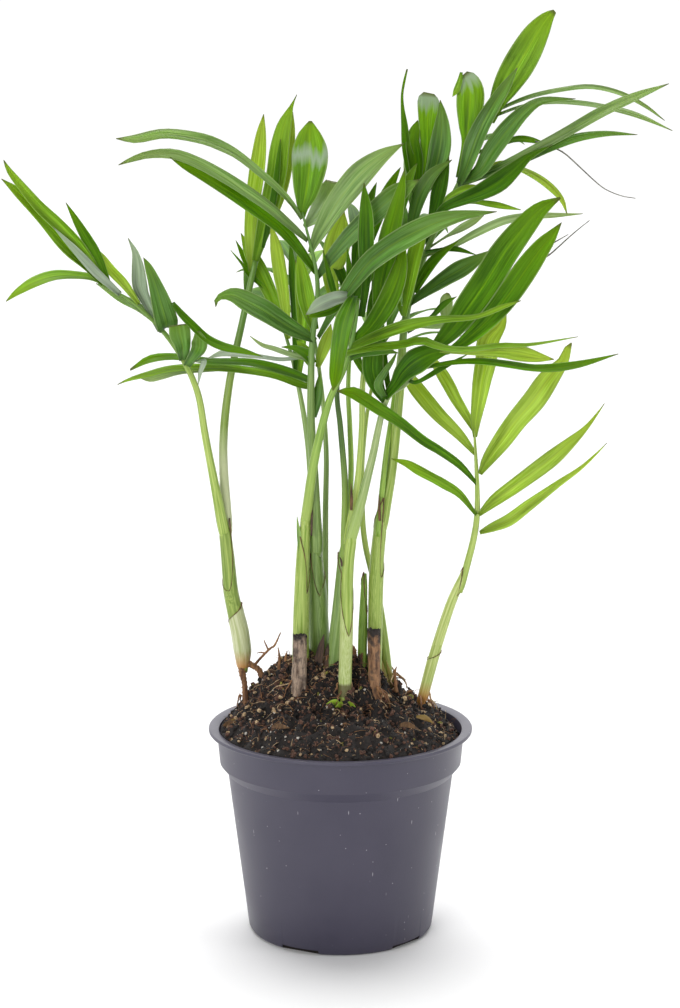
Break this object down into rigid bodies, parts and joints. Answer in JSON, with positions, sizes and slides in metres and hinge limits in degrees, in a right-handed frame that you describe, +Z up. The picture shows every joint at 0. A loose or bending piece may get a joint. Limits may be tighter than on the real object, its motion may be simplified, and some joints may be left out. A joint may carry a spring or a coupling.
{
  "type": "potted parlour palm",
  "caption": "Young parlour palm in a round nursery pot: a clump of slender stems on a heaped root ball, with pinnate fronds that arch out to every side.",
  "frame": {"origin": "centre of the pot's flat underside", "axes": "+Z up, -Y towards the side the plant is shown from, +X to the right of that view"},
  "size_m": [0.2936, 0.1852, 0.4151],
  "materials": {
    "pot": "thin moulded polypropylene, slate grey, satin",
    "soil": "moist peat with roots and grit, rough",
    "stem": "pale green leaf sheaths, smooth",
    "stub": "dry brown cut stem, fibrous",
    "frond": "fresh green leaflets, satin"
  },
  "bodies": {
    "root": {"pot": "pot", "soil": "soil", "stem_left": "stem", "stem_centre_left": "stem", "stem_centre": "stem", "stem_front": "stem", "stem_behind_front": "stem", "stem_centre_right": "stem", "stem_right": "stem", "stem_back_right": "stem", "stem_back_left": "stem", "sheath_right": "stem", "stub_left": "stub", "stub_right": "stub", "frond_left_outer": "frond", "frond_left_inner": "frond", "frond_top_left": "frond", "frond_back_left": "frond", "frond_front": "frond", "frond_right_front": "frond", "frond_centre_dark": "frond", "frond_centre_thin": "frond", "frond_centre_right": "frond", "frond_top_right": "frond", "frond_top_back": "frond", "frond_right": "frond", "frond_back_centre": "frond", "frond_back": "frond"}
  },
  "joints": []
}
